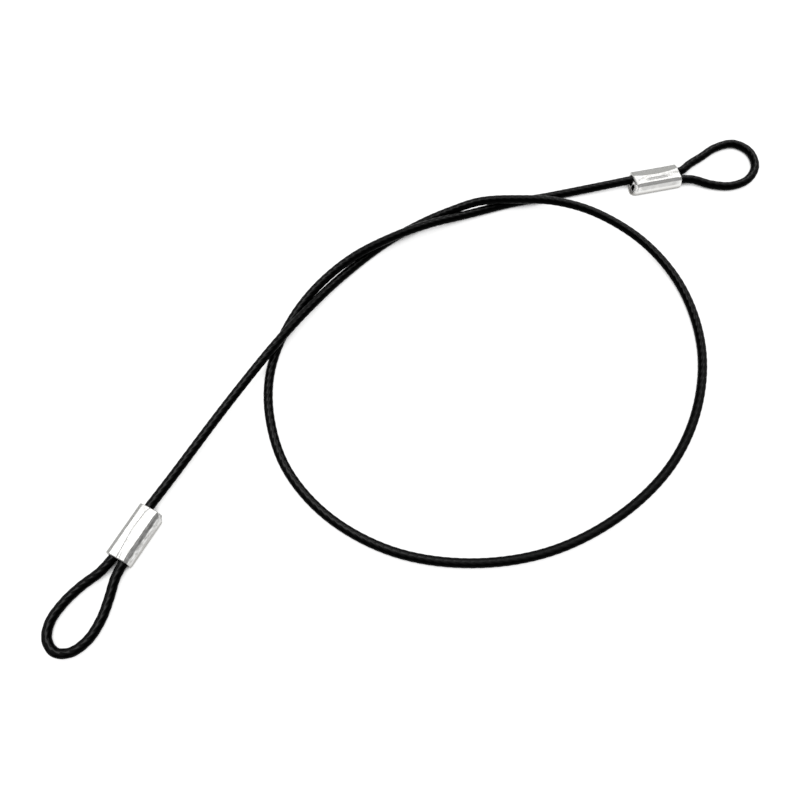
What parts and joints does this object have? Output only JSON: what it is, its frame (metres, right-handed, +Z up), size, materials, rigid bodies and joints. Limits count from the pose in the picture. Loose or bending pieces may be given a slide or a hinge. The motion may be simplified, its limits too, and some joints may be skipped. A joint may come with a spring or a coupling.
{
  "type": "security cable",
  "caption": "Coated wire-rope security cable with an eye at each end closed by a pressed ferrule, lying in one open ring that crosses itself, for use with a padlock.",
  "frame": {"origin": "middle of the lying cable's footprint, on the surface it lies on", "axes": "+X along the longest side of the footprint, towards the far ferrule's eye; +Y across it, away from the camera of the reference; +Z up"},
  "size_m": [0.4003, 0.3255, 0.0107],
  "materials": {
    "coating": "smooth extruded vinyl, semi-gloss, that follows the strands under it",
    "wire_rope": "galvanised wire, seen only at the two cut ends",
    "ferrule": "pressed and tumbled, satin with press creases and rub marks"
  },
  "bodies": {
    "root": {"ferrule_near": "ferrule", "ferrule_far": "ferrule", "sheath_run": "coating", "sheath_eye_near": "coating", "sheath_eye_far": "coating", "wire_rope_run": "wire_rope", "wire_rope_eye_near": "wire_rope", "wire_rope_eye_far": "wire_rope"}
  },
  "joints": []
}
